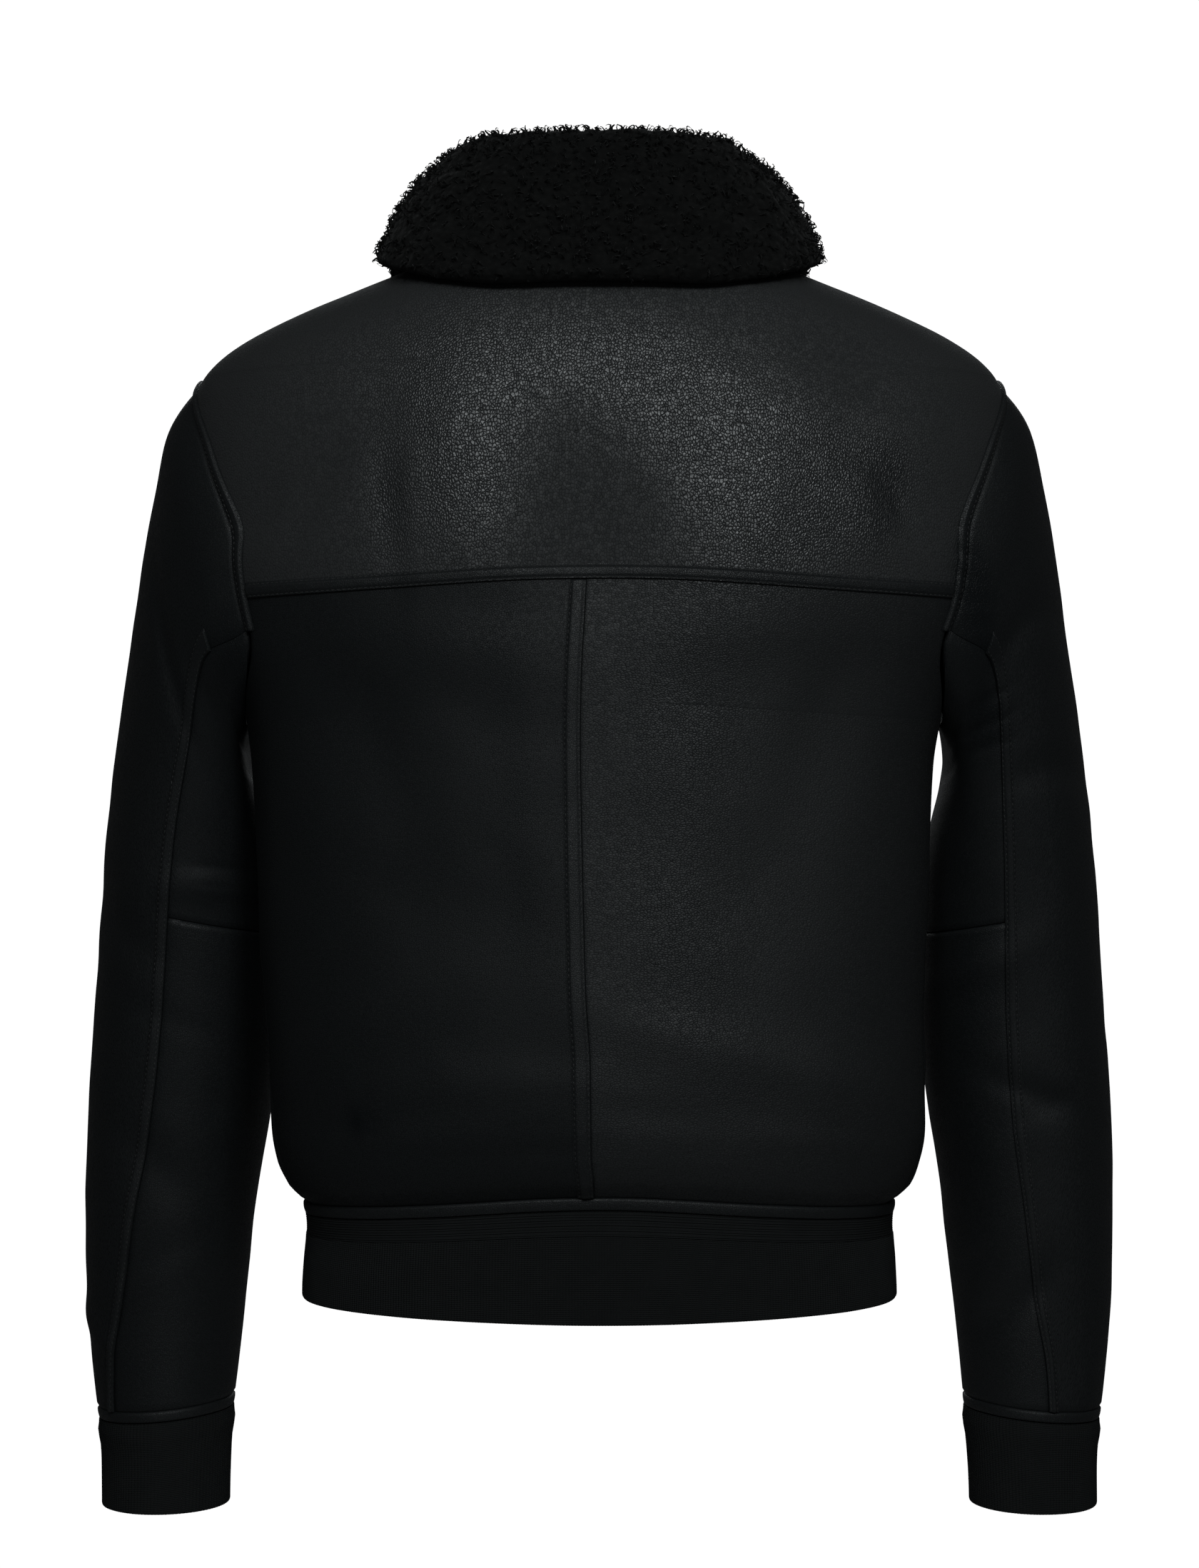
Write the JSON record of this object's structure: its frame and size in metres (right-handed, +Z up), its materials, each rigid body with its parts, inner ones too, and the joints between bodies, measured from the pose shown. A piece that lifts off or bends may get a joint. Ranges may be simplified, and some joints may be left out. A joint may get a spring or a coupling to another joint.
{
  "type": "black shearling flight jacket",
  "caption": "Hollow black shearling jacket with a wool collar, yoked back with taped seams, long sleeves, knitted hem and cuffs, and a front zip.",
  "frame": {"origin": "between the shoulders, at the height of the base of the neck, where the wearer holds the jacket up", "axes": "+Z up, +Y towards the jacket's back, +X towards the wearer's left"},
  "size_m": [0.6219, 0.2688, 0.8036],
  "materials": {
    "shearling_leather": "black, waxed, with a fine grain, cracked and glossy on the yoke",
    "trim_leather": "black, smooth, satin",
    "wool": "black curled sheep's wool",
    "rib_knit": "black wool rib, matte",
    "zip_metal": "dark nickel, satin"
  },
  "bodies": {
    "jacket": {"armhole_strip_left": "trim_leather", "armhole_strip_right": "trim_leather", "back_left": "shearling_leather", "back_right": "shearling_leather", "back_yoke": "shearling_leather", "centre_back_strip": "trim_leather", "collar": "wool", "cuff_rib_left": "rib_knit", "cuff_rib_right": "rib_knit", "cuff_welt_left": "trim_leather", "cuff_welt_right": "trim_leather", "front_left": "shearling_leather", "front_right": "shearling_leather", "hem_rib": "rib_knit", "hem_welt": "trim_leather", "sleeve_strip_left": "trim_leather", "sleeve_strip_right": "trim_leather", "under_sleeve_low_left": "shearling_leather", "under_sleeve_low_right": "shearling_leather", "under_sleeve_top_left": "shearling_leather", "under_sleeve_top_right": "shearling_leather", "upper_sleeve_left": "shearling_leather", "upper_sleeve_right": "shearling_leather", "yoke_strip": "trim_leather", "zip_chain": "zip_metal", "zip_slider": "zip_metal", "zip_tape_left": "rib_knit", "zip_tape_right": "rib_knit"},
    "pull": {"zip_pull": "zip_metal"}
  },
  "joints": [
    {"name": "pull_swing", "type": "hinge", "parent": "jacket", "child": "pull", "pos_m": [0, -0.10771, -0.09391], "axis": [-1, 0, 0], "range_deg": [0, 150]}
  ]
}
